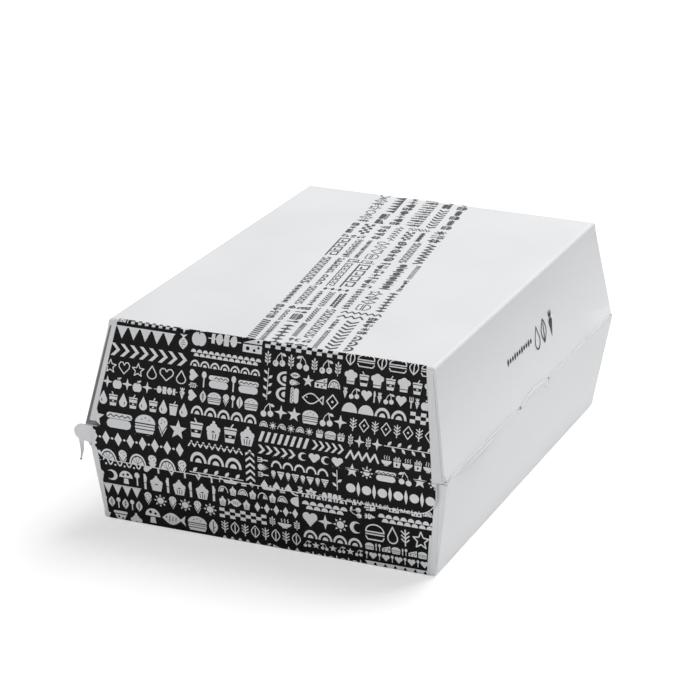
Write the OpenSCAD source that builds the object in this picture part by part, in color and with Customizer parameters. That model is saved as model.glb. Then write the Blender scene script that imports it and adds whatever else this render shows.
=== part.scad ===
// Clamshell takeaway box folded from one sheet of printed food board.
// A flared tray and a flared lid meet edge to edge at the waist. The lid turns on the crease along
// the back of the waist, and a flap creased to its front edge hangs over the front of the tray.
// The origin is the middle of the base, on its underside. +X is the box's right, +Y its back.

/* [Card] */
// Thickness of the card
card_t = 0.45; // [0.35:0.05:0.7]
// Outside radius of a folded edge
fold_r = 1.3; // [0.8:0.1:1.6]
// Gap left where two folded parts meet at a crease or an edge
crease_gap = 0.2; // [0.1:0.05:0.4]

/* [Tray] */
// Width of the tray's rim, over its outside
waist_w = 133.9; // [131:0.1:145]
// Depth of the box at the waist, from the front ridge to the back crease
waist_d = 190.7; // [187:0.1:200]
// Height of the waist above the table
waist_z = 37; // [30:0.5:45]
// How far each of the tray's side walls leans out on its way up to the rim
tray_side_flare = 4.95; // [2:0.05:10]
// How far the box is deeper at the waist than at the base, at each end
tray_end_flare = 6.55; // [3:0.05:12]
// How far the tray's end panels stop short of the corners at the rim
tray_reveal = 3; // [1:0.1:5]
// How far the tray's side walls rise past the waist, outside the lid
rim_lap = 0.6; // [0.2:0.1:1]
// Distance from the corners to the raised part of the tray's sides
lap_inset = 4; // [3:0.5:8]

/* [Lid] */
// Height of the closed box
box_h = 75; // [65:1:90]
// How far the box is wider at the waist than at the top, at each side
lid_side_flare = 7.55; // [3:0.05:12]
// How far the box is deeper at the waist than at the top, at each end
lid_end_flare = 6.35; // [3:0.05:12]
// Clearance between the lid's sides and the tongues beside them
side_clearance = 0.2; // [0.1:0.05:0.4]
// How far the lid's end panels stop short of the corners
lid_reveal = 1.1; // [0.8:0.1:3]
// How far the lid's end panels sit to the right of the middle
panel_shift = 0.3; // [0:0.1:0.6]

/* [Front flap] */
// Width of the flap at its crease
flap_w = 127; // [100:1:128]
// Height of the flap
flap_h = 12.5; // [8:0.5:16]
// Radius of the flap's lower corners
flap_corner_r = 7; // [2:0.5:8]
// How far the flap leans in from upright, in degrees
flap_lean = 6; // [2:0.5:9]
// Clearance between the flap's edge and the tray as the lid swings
flap_clearance = 0.3; // [0.2:0.05:0.6]

/* [Glue tabs] */
// Width of a glue tab behind an end panel
tab_w = 19; // [10:1:30]
// How much the ends of a glue tab are cut back along its free edge
tab_slant = 5; // [2:0.5:8]
// Gap between a glue tab and the crease of the base or top
tab_gap = 1.2; // [0.8:0.1:3]

/* [Locking ears] */
// Radius of the round end of an ear
ear_r = 3.2; // [2:0.1:4]
// How far the middle of the round end lies beyond the tray's corner
ear_reach = 1.5; // [1:0.1:4]
// How far the top of an ear lies below the waist
ear_drop = 0.9; // [0.3:0.1:2]
// Radius of the hollow under the ear's neck
ear_hollow_r = 1.6; // [1:0.1:3]
// Length of the torn point under the left ear
spur_l = 8; // [4:0.5:12]
// Width of the torn point where it leaves the ear
spur_w = 1.9; // [1:0.1:3]
// How far the torn point leans away from the box
spur_lean = 1.5; // [0:0.1:3]
// Radius of the torn point's blunt tip
spur_tip_r = 0.4; // [0.2:0.05:0.6]
// Height of the piece torn out of the lid's front panel over the ear that is out
notch_h = 1.7; // [1:0.1:4]
// Width of the piece torn out of the lid's front panel over the ear that is out
notch_w = 5.5; // [3:0.5:8]
// Height of the slit up the lid's right front corner
corner_slit_h = 2.2; // [1.5:0.1:6]
// Width of the slit up the lid's right front corner
corner_slit_w = 0.9; // [0.6:0.1:2]
// How far the lid's corner slit runs back into its side
slit_back = 2.4; // [1.6:0.1:4]

/* [Side tongues] */
// Length of the half-moon tongue on each side of the tray
tongue_l = 28; // [20:1:40]
// Height of the tongue above the rim
tongue_h = 2; // [1.2:0.1:6]
// Place of the tongue's middle from the middle of the box, to the back
tongue_y = -0.5; // [-10:0.5:10]
// Length of the slit in front of the tongue
slit_l = 8; // [4:0.5:14]
// Depth of the slit in front of the tongue
slit_h = 0.5; // [0.3:0.1:2]
// Width of the notch behind the tongue
v_notch_w = 1.5; // [1:0.5:6]
// Depth of the notch behind the tongue
v_notch_h = 1.5; // [1:0.5:7]
// Length of the curled edge in front of the tongue
curl_l = 48; // [30:1:54]
// How far the curled edge stands out at its middle
curl_out = 1; // [0.6:0.1:2]
// Distance from the front of the waist to the middle of the curled edge
curl_front = 33; // [30:1:36]

/* [Hidden] */
$fn = 96;

card_white = [0.9, 0.9, 0.91];
print_black = [0.08, 0.08, 0.085];

// Cutting bodies reach this far past what they cut
past = 20;
fold_steps = 5;

base_w = waist_w - 2 * tray_side_flare;
base_d = waist_d - 2 * tray_end_flare;
top_w = waist_w - 2 * lid_side_flare;
top_d = waist_d - 2 * lid_end_flare;
lid_h = box_h - waist_z;
lid_rim_w = waist_w - 2 * (card_t + side_clearance);
tray_rim_z = waist_z - crease_gap / 2;

// The flap's edge moves forwards a little as it rises past the tray, as the lid turns on its crease
flap_swing = flap_h * flap_h / (2 * waist_d);
flap_depth = flap_h * sin(flap_lean) + card_t * cos(flap_lean);
tray_setback = flap_depth - flap_swing + flap_clearance;

// An end panel's cut edge is scored a little deeper than the card, into the tab behind it
score_t = 1.1 * card_t;

ear_z = waist_z - ear_drop - ear_r;
curl_y = curl_front - waist_d / 2;

// Each shell is described from its flat panel to its rim:
// [panel half width, rim half width, panel front, rim front, panel back, rim back, height]
tray_size = [base_w / 2, waist_w / 2, base_d / 2, waist_d / 2 - tray_setback,
             base_d / 2, waist_d / 2, waist_z];
lid_size = [top_w / 2, lid_rim_w / 2, top_d / 2, waist_d / 2, top_d / 2, waist_d / 2, lid_h];

function unit(v) = v / norm(v);

// Points of the arc of radius r that rounds the corner p between the points before and after it
function rounded(before, p, after, r) =
    let (
        u = unit(before - p),
        v = unit(after - p),
        half = acos(u * v) / 2,
        centre = p + unit(u + v) * r / sin(half),
        start = p + u * r / tan(half) - centre,
        turn = 180 - 2 * half,
        way = sign(cross(start, p + v * r / tan(half) - centre))
    )
    [for (i = [0 : fold_steps])
        let (a = way * turn * i / fold_steps)
        centre + [start.x * cos(a) - start.y * sin(a), start.x * sin(a) + start.y * cos(a)]];

// Half width or half depth of a wall's outside at height z, from its panel and rim values
function wall_at(panel, rim, h, z) = panel + (rim - panel) * z / h;

// How far a wall's face moves sideways when the wall is made thinner by t
function sideways(panel, rim, h, t) = t / cos(atan((rim - panel) / h));

// Section of a shell: a flat panel at the bottom with rounded folds, and two sloping walls
module section(panel_a, rim_a, panel_b, rim_b, h, in_a, in_b, floor_t, r) {
    top = h + past;
    shift_a = sideways(panel_a, rim_a, h, in_a);
    shift_b = sideways(panel_b, rim_b, h, in_b);
    a0 = [shift_a - wall_at(panel_a, rim_a, h, floor_t), floor_t];
    b0 = [wall_at(panel_b, rim_b, h, floor_t) - shift_b, floor_t];
    a1 = [shift_a - wall_at(panel_a, rim_a, h, top), top];
    b1 = [wall_at(panel_b, rim_b, h, top) - shift_b, top];
    polygon(concat(rounded(a1, a0, b0, r), rounded(a0, b0, b1, r), [b1, a1]));
}

// Solid inside a shell's faces, with its sides, front, back and panel moved in by the given amounts
module solid(s, in_side, in_front, in_back, floor_t, r) {
    reach = 2 * max(s[1], s[3], s[5]) + 2 * past;
    intersection() {
        rotate([90, 0, 0])
            linear_extrude(reach, center = true)
                section(s[0], s[1], s[0], s[1], s[6], in_side, in_side, floor_t, r);
        rotate([90, 0, 90])
            linear_extrude(reach, center = true)
                section(s[2], s[3], s[4], s[5], s[6], in_front, in_back, floor_t, r);
    }
}

// Everything in a front or back wall between two depths of card, with no end at the corners
module wall_slab(s, from_t, to_t) {
    reach = 2 * s[1] + 2 * past;
    rotate([90, 0, 90])
        linear_extrude(reach, center = true)
            difference() {
                section(s[2], s[3], s[4], s[5], s[6], from_t, from_t, 0, fold_r);
                section(s[2], s[3], s[4], s[5], s[6], to_t, to_t, -past, fold_r);
            }
}

// An outline in X and Z, run through the box from front to back
module through() {
    rotate([90, 0, 0])
        linear_extrude(waist_d + 2 * past, center = true)
            children();
}

// An outline in X and Z, run through the front of the box as far back as the given depth
module through_front(depth) {
    translate([0, depth - waist_d / 2, 0])
        rotate([90, 0, 0])
            linear_extrude(depth + past)
                children();
}

// An outline in Y and Z, run through one side wall
module through_side(s, side) {
    translate([side * s[1], 0, 0])
        rotate([90, 0, 90])
            linear_extrude(s[1], center = true)
                children();
}

// Outline of a glue tab behind an end panel. At the rim it reaches past the strip that shows, which
// is as wide there as the given reveal
module tab_outline(s, reveal) {
    polygon([
        [s[1] + past, tab_gap],
        [s[0], tab_gap],
        [s[0] - tab_w, tab_gap + tab_slant],
        [s[1] - tab_w, s[6] - tab_slant],
        [s[1] - reveal - tab_gap, s[6]],
        [s[1] - reveal - tab_gap, s[6] + past],
        [s[1] + past, s[6] + past]
    ]);
}

// The strip beyond an end panel's cut edge, where the side wall's glue tab shows. Its width is given
// at the flat panel and at the rim
module reveal_outline(s, at_panel, at_rim) {
    start = 2 * tab_gap;
    polygon([
        [wall_at(s[0] - at_panel, s[1] - at_rim, s[6], start), start],
        [s[1] - at_rim, s[6]],
        [s[1] - at_rim, s[6] + past],
        [s[1] + past, s[6] + past],
        [s[1] + past, start]
    ]);
}

// A flat panel with four sloping walls, one card thick, with four glue tabs inside the end panels,
// which sit off the middle by the given shift.
// The children are outlines, seen from the front, where the front panel runs on over the strips
module folded_shell(s, at_panel, at_rim, shift) {
    difference() {
        union() {
            difference() {
                solid(s, 0, 0, 0, 0, fold_r);
                solid(s, card_t, card_t, card_t, card_t, fold_r - card_t);
            }
            intersection() {
                difference() {
                    solid(s, card_t / 2, card_t / 2, card_t / 2, card_t / 2, fold_r);
                    solid(s, 0, 2 * card_t, 2 * card_t, -past, fold_r);
                }
                through()
                    for (side = [0, 1])
                        mirror([side, 0])
                            tab_outline(s, at_rim + shift);
            }
        }
        difference() {
            through()
                for (side = [0, 1])
                    mirror([side, 0])
                        reveal_outline(s, at_panel + (2 * side - 1) * shift,
                                       at_rim + (2 * side - 1) * shift);
            solid([2 * s[1], 2 * s[1], s[2], s[3], s[4], s[5], s[6]], 0, score_t, score_t, -past, fold_r);
            through_front(waist_d / 2)
                children();
        }
    }
}

// What is cut off above the tray's rim, as seen from the side: all but the raised part of the
// sides, with the slit in front of the tongue and the notch behind it
module rim_cut_outline() {
    lap_end = waist_d / 2 - lap_inset;
    front = tongue_y - tongue_l / 2;
    back = tongue_y + tongue_l / 2;
    difference() {
        translate([-waist_d, tray_rim_z])
            square([2 * waist_d, 2 * past]);
        polygon([
            [-lap_end, tray_rim_z - rim_lap],
            [2 * rim_lap - lap_end, tray_rim_z + rim_lap],
            [lap_end - 2 * rim_lap, tray_rim_z + rim_lap],
            [lap_end, tray_rim_z - rim_lap]
        ]);
    }
    translate([front - slit_l, tray_rim_z - slit_h])
        square([slit_l, slit_h + past]);
    polygon([
        [back, tray_rim_z + past],
        [back, tray_rim_z - v_notch_h],
        [back + v_notch_w, tray_rim_z],
        [back + v_notch_w, tray_rim_z + past]
    ]);
}

// Half-moon tongue that stands upright on a side wall, outside the lid. Its root is in the wall
module tongue(side) {
    tongue_r = (tongue_l * tongue_l / 4 + tongue_h * tongue_h) / (2 * tongue_h);
    wall = waist_w / 2;
    root = tray_rim_z - card_t;
    intersection() {
        rotate([90, 0, 0])
            linear_extrude(waist_d, center = true)
                mirror([side < 0 ? 1 : 0, 0])
                    polygon([
                        [wall - 3 * card_t / 4, root],
                        [wall - card_t / 2, root],
                        [wall, tray_rim_z],
                        [wall, tray_rim_z + past],
                        [wall - card_t, tray_rim_z + past],
                        [wall - card_t, tray_rim_z]
                    ]);
        through_side(tray_size, side)
            intersection() {
                translate([tongue_y, tray_rim_z + tongue_h - tongue_r])
                    circle(tongue_r);
                translate([tongue_y - tongue_l / 2 + card_t, root])
                    square([tongue_l - 2 * card_t, past]);
            }
    }
}

// Curled-out edge in front of the tongue: a shallow segment of a circle, as seen from above
module curled_edge(side) {
    curl_r = (curl_l * curl_l / 4 + curl_out * curl_out) / (2 * curl_out);
    wall = waist_w / 2 - card_t / 2;
    translate([0, 0, tray_rim_z - card_t])
        linear_extrude(card_t)
            intersection() {
                translate([side * (wall + curl_out - curl_r), curl_y])
                    circle(curl_r, $fn = 360);
                translate([side * (wall + curl_out / 2), curl_y])
                    square([curl_out, curl_l], center = true);
            }
}

// The band at the top of the front panel from which an ear is cut, seen from the front
module neck_outline() {
    translate([-waist_w, ear_z - ear_r])
        square([2 * waist_w, 2 * ear_r]);
}

// The round end of the left ear, with its neck, the hollow under it and its torn point
module left_ear_outline() {
    reach = waist_w / 2 + ear_reach;
    mid = reach + spur_lean / 2;
    tip = reach + spur_lean;
    low = ear_z - ear_r;
    corner = wall_at(base_w / 2, waist_w / 2, waist_z, low);
    mirror([1, 0]) {
        translate([reach, ear_z])
            circle(ear_r);
        translate([waist_w / 2 - tray_reveal / 2, low])
            square([ear_reach + tray_reveal / 2, 2 * ear_r]);
        difference() {
            translate([corner - card_t, low - ear_hollow_r])
                square([card_t + ear_hollow_r, ear_hollow_r + card_t]);
            translate([corner + ear_hollow_r, low - ear_hollow_r])
                circle(ear_hollow_r);
        }
        polygon([
            [mid + spur_w / 2, ear_z - ear_r / 2],
            [mid + spur_w / 4, low - spur_l / 2],
            [tip, low - spur_l],
            [mid - spur_w / 4, low - spur_l / 2],
            [mid - spur_w / 2, ear_z - ear_r / 2]
        ]);
        translate([tip, low - spur_l + spur_tip_r])
            circle(spur_tip_r);
    }
}

// The ear that is out, at the left
module left_ear() {
    intersection() {
        wall_slab(tray_size, 0, card_t);
        through_front(waist_d / 4)
            left_ear_outline();
    }
}

// The ear that is tucked in, at the right: its round end is folded back inside the side wall
module right_ear() {
    front = waist_d / 2 - tray_setback;
    intersection() {
        difference() {
            solid(tray_size, card_t / 2, card_t / 2, card_t / 2, 0, fold_r);
            solid(tray_size, 2 * card_t, 0, 0, -past, fold_r);
        }
        through_side(tray_size, 1) {
            translate([ear_reach + ear_r - front, ear_z])
                circle(ear_r);
            translate([-waist_d / 2, ear_z - ear_r])
                square([ear_reach + ear_r + tray_setback, 2 * ear_r]);
        }
    }
}

module tray() {
    color(card_white) {
        difference() {
            folded_shell(tray_size, 0, tray_reveal, 0)
                neck_outline();
            rotate([90, 0, 90])
                linear_extrude(2 * waist_w, center = true)
                    rim_cut_outline();
        }
        for (side = [-1, 1]) {
            curled_edge(side);
            tongue(side);
        }
        left_ear();
        right_ear();
    }
}

// The lid's shell is a tray turned over: its panel is the top, and its rim is at the waist
module lid() {
    rim = waist_z + crease_gap / 2;
    corner = lid_rim_w / 2;
    color(card_white)
        difference() {
            translate([0, 0, box_h])
                mirror([0, 0, 1])
                    folded_shell(lid_size, lid_reveal, lid_reveal, panel_shift);
            translate([0, 0, rim - past])
                cube([3 * waist_w, 3 * waist_d, 2 * past], center = true);
            translate([0, 0, box_h])
                mirror([0, 0, 1])
                    intersection() {
                        wall_slab(lid_size, -score_t, score_t);
                        through_front(waist_d / 4)
                            translate([-corner - past, box_h - rim - notch_h])
                                square([notch_w + past, past]);
                    }
            through_front(slit_back)
                translate([corner - corner_slit_w, rim - past])
                    square([corner_slit_w + past, corner_slit_h + past]);
        }
}

// The flap from the crease down, with its two lower corners rounded
module flap_outline() {
    low = flap_corner_r - flap_h;
    translate([-flap_w / 2, low])
        square([flap_w, -low]);
    intersection() {
        translate([-flap_w / 2, -flap_h])
            square([flap_w, flap_h]);
        for (side = [-1, 1])
            translate([side * (flap_w / 2 - flap_corner_r), low])
                circle(flap_corner_r);
    }
    translate([flap_corner_r - flap_w / 2, -flap_h])
        square([flap_w - 2 * flap_corner_r, flap_h]);
}

// The flap's top edge lies on the ridge at the front of the waist
module front_flap() {
    color(print_black)
        translate([0, -waist_d / 2, waist_z])
            rotate([90 + flap_lean, 0, 0])
                translate([0, -crease_gap / 2, -card_t])
                    linear_extrude(card_t)
                        flap_outline();
}

tray();
lid();
front_flap();
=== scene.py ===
import bpy
import math
import random
from mathutils import Matrix, Vector


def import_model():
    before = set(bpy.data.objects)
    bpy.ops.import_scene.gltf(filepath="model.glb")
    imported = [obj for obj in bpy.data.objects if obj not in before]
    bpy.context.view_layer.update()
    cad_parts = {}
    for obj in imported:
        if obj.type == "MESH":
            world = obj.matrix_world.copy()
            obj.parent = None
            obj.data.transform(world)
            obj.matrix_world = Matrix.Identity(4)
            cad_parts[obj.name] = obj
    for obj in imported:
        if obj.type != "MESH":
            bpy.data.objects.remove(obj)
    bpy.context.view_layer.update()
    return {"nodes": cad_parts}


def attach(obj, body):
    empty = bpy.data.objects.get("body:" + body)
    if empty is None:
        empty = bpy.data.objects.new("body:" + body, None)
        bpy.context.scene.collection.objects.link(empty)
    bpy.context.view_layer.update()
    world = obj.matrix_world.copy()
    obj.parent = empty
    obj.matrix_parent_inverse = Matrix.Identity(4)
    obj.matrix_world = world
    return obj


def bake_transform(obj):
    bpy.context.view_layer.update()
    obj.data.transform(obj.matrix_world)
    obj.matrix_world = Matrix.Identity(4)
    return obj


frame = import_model()

# Sizes, in mm, as in the part
MM = 0.001
CARD, FOLD_R, FOLD_STEPS, CREASE = 0.45, 1.3, 5, 0.2
WAIST_W, WAIST_D, WAIST_Z, BOX_H = 133.9, 190.7, 37.0, 75.0
BASE_W, BASE_D, TOP_W, TOP_D = 124.0, 177.6, 118.8, 178.0
SIDE_CLEARANCE = 0.2
LID_RIM_W = WAIST_W - 2 * (CARD + SIDE_CLEARANCE)
TRAY_RIM_Z, LID_RIM_Z = WAIST_Z - CREASE / 2, WAIST_Z + CREASE / 2
TRAY_FRONT = 93.713    # from the middle to the face of the tray's front at the waist
RIM_LAP, LAP_INSET = 0.6, 4.0
FLAP_W, FLAP_H, FLAP_R, FLAP_LEAN = 127.0, 12.5, 7.0, 6.0
LID_STRIP, NOTCH_W, NOTCH_H, SCORE = 1.4, 5.5, 1.7, 0.495
CORNER_SLIT_W, CORNER_SLIT_H, SLIT_BACK = 0.9, 2.2, 2.4
TONGUE_L, TONGUE_H, TONGUE_Y = 28.0, 2.0, -0.5
SLIT_L, SLIT_H, V_NOTCH_W = 8.0, 0.5, 1.5

# Print, in mm
INK, BARE = 0, 1
# The field lies under the shapes, which have LIFTS heights in turn, so that those that overlap
# don't share a plane
FIELD_LIFT, PRINT_LIFT, LIFT_STEP, LIFTS = 0.03, 0.05, 0.002, 29
# How far print stays clear of the flap's edge, of a fold that bends, and of the base
FLAP_EDGE, FOLD_CLEAR, BASE_CLEAR = 0.25, 0.06, 0.55
PRINT_HALF_W, PRINT_PAST, PRINT_TOP = 66, 2, 1.5
SPECK_AREA = 2e-4      # twice the area under which a cut piece of a shape is left out
FAR = 1000.0

# Shading of the card, in metres
WAIST = WAIST_Z * MM
# The lid's sides are hollow by HOLLOW times the height over HOLLOW_FROM squared, and the tray's
# sides lean by BELLY
HOLLOW_FROM, HOLLOW, BELLY = 0.038, 5.2, 0.1
# The lid's back right corner is bent under a line that falls towards the back
BEND_Z, BEND_FALL, BEND_START, BEND_FULL, BEND = 0.0588, 0.195, 0.060, 0.078, 0.16
# Noise scale, detail and roughness, with the depth of the relief
RELIEF = (((11.0, 1.0, 0.5), 0.0022), ((420.0, 3.0, 0.6), 0.00002), ((2600.0, 2.0, 0.7), 0.000006))
EDGE_R = 0.0001
# Level faces near the waist, the raw cut edges and the seam's card, are painted a darker grey as
# shade against the light they catch facing up, and the torn spur is left of and below these
SHADED_LEVEL_FROM, SHADED_NEAR_WAIST = 0.85, 0.0024
TORN_X, TORN_Z, TORN_RAGGED = (-0.0666, -0.0669), (0.0312, 0.0225), 0.002
# Darkest and lightest tone of each kind of card, of the painted shade on level faces and of the
# darker spur
COATED = (0.835, 0.840, 0.852), (0.865, 0.868, 0.876)
UNCOATED = (0.76, 0.755, 0.735), (0.82, 0.815, 0.80)
# Painted shade: the grey of the level faces near the waist, the raw cut edges, darker than the card
# against the light they catch
LEVEL_EDGE_SHADE = (0.60, 0.60, 0.605), (0.66, 0.66, 0.665)
# The spur by the ear, a darker grey
SPUR_GREY = (0.36, 0.36, 0.365), (0.62, 0.62, 0.615)
BARE_IN_PRINT = (0.820, 0.825, 0.838), (0.850, 0.853, 0.862)
IOR = 1.46


# Node helpers
class Nodes:
    """A material's node tree, with short ways to add and join nodes."""

    def __init__(self, name):
        self.mat = bpy.data.materials.new(name)
        self.mat.use_nodes = True
        self.tree = self.mat.node_tree
        self.shader = self.tree.nodes["Principled BSDF"]

    def add(self, kind, values=(), **props):
        n = self.tree.nodes.new(kind)
        for k, v in props.items():
            setattr(n, k, v)
        for k, v in dict(values).items():
            self.give(n.inputs[k], v)
        return n

    def give(self, socket, value):
        if isinstance(value, bpy.types.NodeSocket):
            self.tree.links.new(value, socket)
        else:
            socket.default_value = value

    def coords(self):
        return self.add("ShaderNodeTexCoord").outputs["Object"]

    def axes(self, vector):
        return self.add("ShaderNodeSeparateXYZ", {0: vector}).outputs

    def math(self, op, a, b=0.0):
        return self.add("ShaderNodeMath", {0: a, 1: b}, operation=op).outputs[0]

    def noise(self, coords, scale, detail=2.0, rough=0.5):
        n = self.add("ShaderNodeTexNoise",
                     {"Vector": coords, "Scale": scale, "Detail": detail, "Roughness": rough})
        return n.outputs["Fac"]

    def remap(self, value, a, b, c=0.0, d=1.0):
        return self.add("ShaderNodeMapRange", {0: value, 1: a, 2: b, 3: c, 4: d}).outputs[0]

    def mix(self, fac, a, b):
        n = self.add("ShaderNodeMix", data_type="RGBA")
        for key, v in (("Factor_Float", fac), ("A_Color", a), ("B_Color", b)):
            socket = next(i for i in n.inputs if i.identifier == key)
            self.give(socket, (*v, 1) if isinstance(v, tuple) else v)
        return next(o for o in n.outputs if o.identifier == "Result_Color")

    def bump(self, height, distance, normal=None):
        values = {"Height": height, "Distance": distance, "Strength": 1.0}
        if normal is not None:
            values["Normal"] = normal
        return self.add("ShaderNodeBump", values).outputs["Normal"]

    def set(self, **values):
        for k, v in values.items():
            self.give(self.shader.inputs[k.replace("_", " ")], v)


def own_normal(m):
    """The face's normal, turning with the piece."""
    geo = m.add("ShaderNodeNewGeometry")
    return m.add("ShaderNodeVectorTransform", {"Vector": geo.outputs["True Normal"]},
                 vector_type="NORMAL", convert_from="WORLD", convert_to="OBJECT").outputs[0]


def card_surface(m, coords, normal=None):
    """Normal of a coated board, over the one given: side walls a little hollow under the lid's
    fold, the bent back corner, and slow warps, a fine mottle and fibres."""
    _, y, z = m.axes(coords)
    sideways = m.axes(own_normal(m))[0]
    above = m.math("MAXIMUM", m.math("SUBTRACT", z, HOLLOW_FROM), 0.0)
    below = m.math("MAXIMUM", m.math("SUBTRACT", WAIST, z), 0.0)
    hollow = m.math("ADD", m.math("MULTIPLY", m.math("MULTIPLY", above, above), HOLLOW),
                    m.math("MULTIPLY", below, BELLY))
    normal = m.bump(m.math("MULTIPLY", hollow, m.math("ABSOLUTE", sideways)), 1.0, normal)
    line = m.math("SUBTRACT", BEND_Z, m.math("MULTIPLY", y, BEND_FALL))
    under = m.math("MAXIMUM", m.math("SUBTRACT", line, z), 0.0)
    under = m.math("MULTIPLY", under, m.math("GREATER_THAN", z, WAIST))
    under = m.math("MULTIPLY", under, m.remap(y, BEND_START, BEND_FULL))
    normal = m.bump(m.math("MULTIPLY", under, m.math("MAXIMUM", sideways, 0.0)), BEND, normal)
    for noise, depth in RELIEF:
        normal = m.bump(m.noise(coords, *noise), depth, normal)
    return normal


def white_card():
    """Coated white board: bare on the inside; its raw cut edges, level faces near the waist, are
    painted a darker grey as shade, and the torn spur by the ear is darker grey and ragged.
    """
    m = Nodes("white_card")
    coords, normal = m.coords(), own_normal(m)
    x, _, z = m.axes(coords)
    out = m.add("ShaderNodeVectorMath", {0: coords, 1: (0, 0, -WAIST)}, operation="ADD")
    out = m.add("ShaderNodeVectorMath", {0: out.outputs[0]}, operation="NORMALIZE")
    facing = m.add("ShaderNodeVectorMath", {0: out.outputs[0], 1: normal},
                   operation="DOT_PRODUCT").outputs["Value"]
    inner = m.remap(facing, -0.12, -0.2)
    cloud = m.noise(coords, 30.0, 3.0)
    fibre = m.noise(coords, 1500.0, 3.0, 0.65)
    level = m.math("ABSOLUTE", m.axes(normal)[2])
    near = m.math("ABSOLUTE", m.math("SUBTRACT", z, WAIST))
    # Painted shade on level faces near the waist, the raw cut edges
    cut = m.math("MULTIPLY", m.math("GREATER_THAN", level, SHADED_LEVEL_FROM),
                 m.math("LESS_THAN", near, SHADED_NEAR_WAIST))
    # The spur left of and below these is painted a darker grey, ragged at its edge
    ragged = m.math("ADD", z, m.math("MULTIPLY", cloud, TORN_RAGGED))
    torn = m.math("MULTIPLY", m.remap(x, *TORN_X), m.remap(ragged, *TORN_Z))
    uncoated = m.mix(m.remap(fibre, 0.35, 0.75), *UNCOATED)
    colour = m.mix(cut, m.mix(inner, m.mix(cloud, *COATED), uncoated), m.mix(fibre, *LEVEL_EDGE_SHADE))
    bevel = m.add("ShaderNodeBevel", {"Radius": EDGE_R}, samples=4).outputs[0]
    m.set(Base_Color=m.mix(torn, colour, m.mix(fibre, *SPUR_GREY)),
          Roughness=m.math("ADD", m.remap(cloud, 0.3, 0.7, 0.40, 0.50),
                           m.math("MULTIPLY", inner, 0.25)),
          Normal=card_surface(m, coords, bevel), IOR=IOR)
    return m.mat


def bare_print():
    """The card showing through the print, with tiny specks of ink."""
    m = Nodes("bare_card")
    coords = m.coords()
    cloud = m.noise(coords, 30.0, 3.0)
    speck = m.remap(m.noise(coords, 5200.0, 2.0, 0.7), 0.62, 0.74, 0.0, 0.35)
    m.set(Base_Color=m.mix(speck, m.mix(cloud, *BARE_IN_PRINT), (0.42, 0.42, 0.43)),
          Roughness=m.remap(cloud, 0.3, 0.7, 0.40, 0.50),
          Normal=card_surface(m, coords), IOR=IOR)
    return m.mat


def ink_or_painted_shade(name, dark, light, specks):
    """Satin ink, a little uneven, with tiny specks where it didn't take; also the satin grey of
    painted shade on the lid's tab and along the tongue's cut.
    """
    m = Nodes(name)
    coords = m.coords()
    cloud = m.noise(coords, 60.0, 3.0)
    speck = m.remap(m.noise(coords, 4200.0, 2.0, 0.7), 0.66, 0.78, 0.0, specks)
    m.set(Base_Color=m.mix(speck, m.mix(cloud, dark, light), (0.5, 0.5, 0.5)),
          Roughness=m.remap(cloud, 0.3, 0.7, 0.42, 0.52), Specular_IOR_Level=0.1,
          Normal=card_surface(m, coords), IOR=IOR)
    return m.mat


WHITE = white_card()
BARE_MAT = bare_print()
BLACK = ink_or_painted_shade("black_ink", (0.0085, 0.0085, 0.009), (0.0125, 0.0125, 0.013), 0.25)
GREY = ink_or_painted_shade("grey_ink", (0.095, 0.095, 0.10), (0.145, 0.145, 0.15), 0.5)
SMALL = ink_or_painted_shade("small_ink", (0.035, 0.035, 0.037), (0.055, 0.055, 0.058), 0.4)
# Painted shade: the grey of the line along the end of the tongue's cut
SCORE_SHADE = ink_or_painted_shade("score_line_painted_shade", (0.60, 0.60, 0.605), (0.68, 0.68, 0.685), 0.3)
# Painted shade: the dark grey of the tab in the gap beside the lid's left edge
TAB_SHADE = ink_or_painted_shade("tab_painted_shade", (0.21, 0.21, 0.215), (0.29, 0.29, 0.295), 0.3)

for name in ("tray", "lid", "front_flap"):
    node = frame["nodes"][name]
    node.data.materials.clear()
    node.data.materials.append(WHITE)


# Flat shapes
def turn(p, deg, c):
    """The point p turned about c."""
    a = math.radians(deg)
    x, y = p[0] - c[0], p[1] - c[1]
    return (c[0] + x * math.cos(a) - y * math.sin(a), c[1] + x * math.sin(a) + y * math.cos(a))


def polar(cx, cy, rx, ry, deg):
    return (cx + rx * math.cos(math.radians(deg)), cy + ry * math.sin(math.radians(deg)))


def ell(cx, cy, rx, ry=None, a0=0, a1=360, n=18):
    """An ellipse, or the part of one between two angles."""
    ry = rx if ry is None else ry
    count = n if a1 - a0 == 360 else n + 1
    return [polar(cx, cy, rx, ry, a0 + (a1 - a0) * i / n) for i in range(count)]


def bar(x0, y0, x1, y1, w):
    """A straight stroke of width w."""
    d = math.hypot(x1 - x0, y1 - y0)
    nx, ny = -(y1 - y0) / d * w / 2, (x1 - x0) / d * w / 2
    return [(x0 + nx, y0 + ny), (x0 - nx, y0 - ny), (x1 - nx, y1 - ny), (x1 + nx, y1 + ny)]


def lens(cx, cy, length, width, deg=90, n=8):
    """A pointed oval, its length turned by deg."""
    side = [(length * (i / n - 0.5), width / 2 * math.sin(math.pi * i / n)) for i in range(n + 1)]
    pts = side + [(x, -y) for x, y in side[-2:0:-1]]
    return [turn((x + cx, y + cy), deg, (cx, cy)) for x, y in pts]


def path(pts, w, round_ends=True):
    """Strokes from point to point, with round joints."""
    made = [bar(*a, *b, w) for a, b in zip(pts, pts[1:])]
    joints = pts if round_ends else pts[1:-1]
    return made + [ell(x, y, w / 2, n=8) for x, y in joints]


def star(cx, cy, tip, inner, points):
    """A star with a point up, as one kite for each point."""
    made, step = [], 180 / points
    for i in range(points):
        a = 90 + 360 * i / points
        made.append([(cx, cy)] + [turn((cx + r, cy), b, (cx, cy))
                                  for r, b in ((inner, a - step), (tip, a), (inner, a + step))])
    return made


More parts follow.
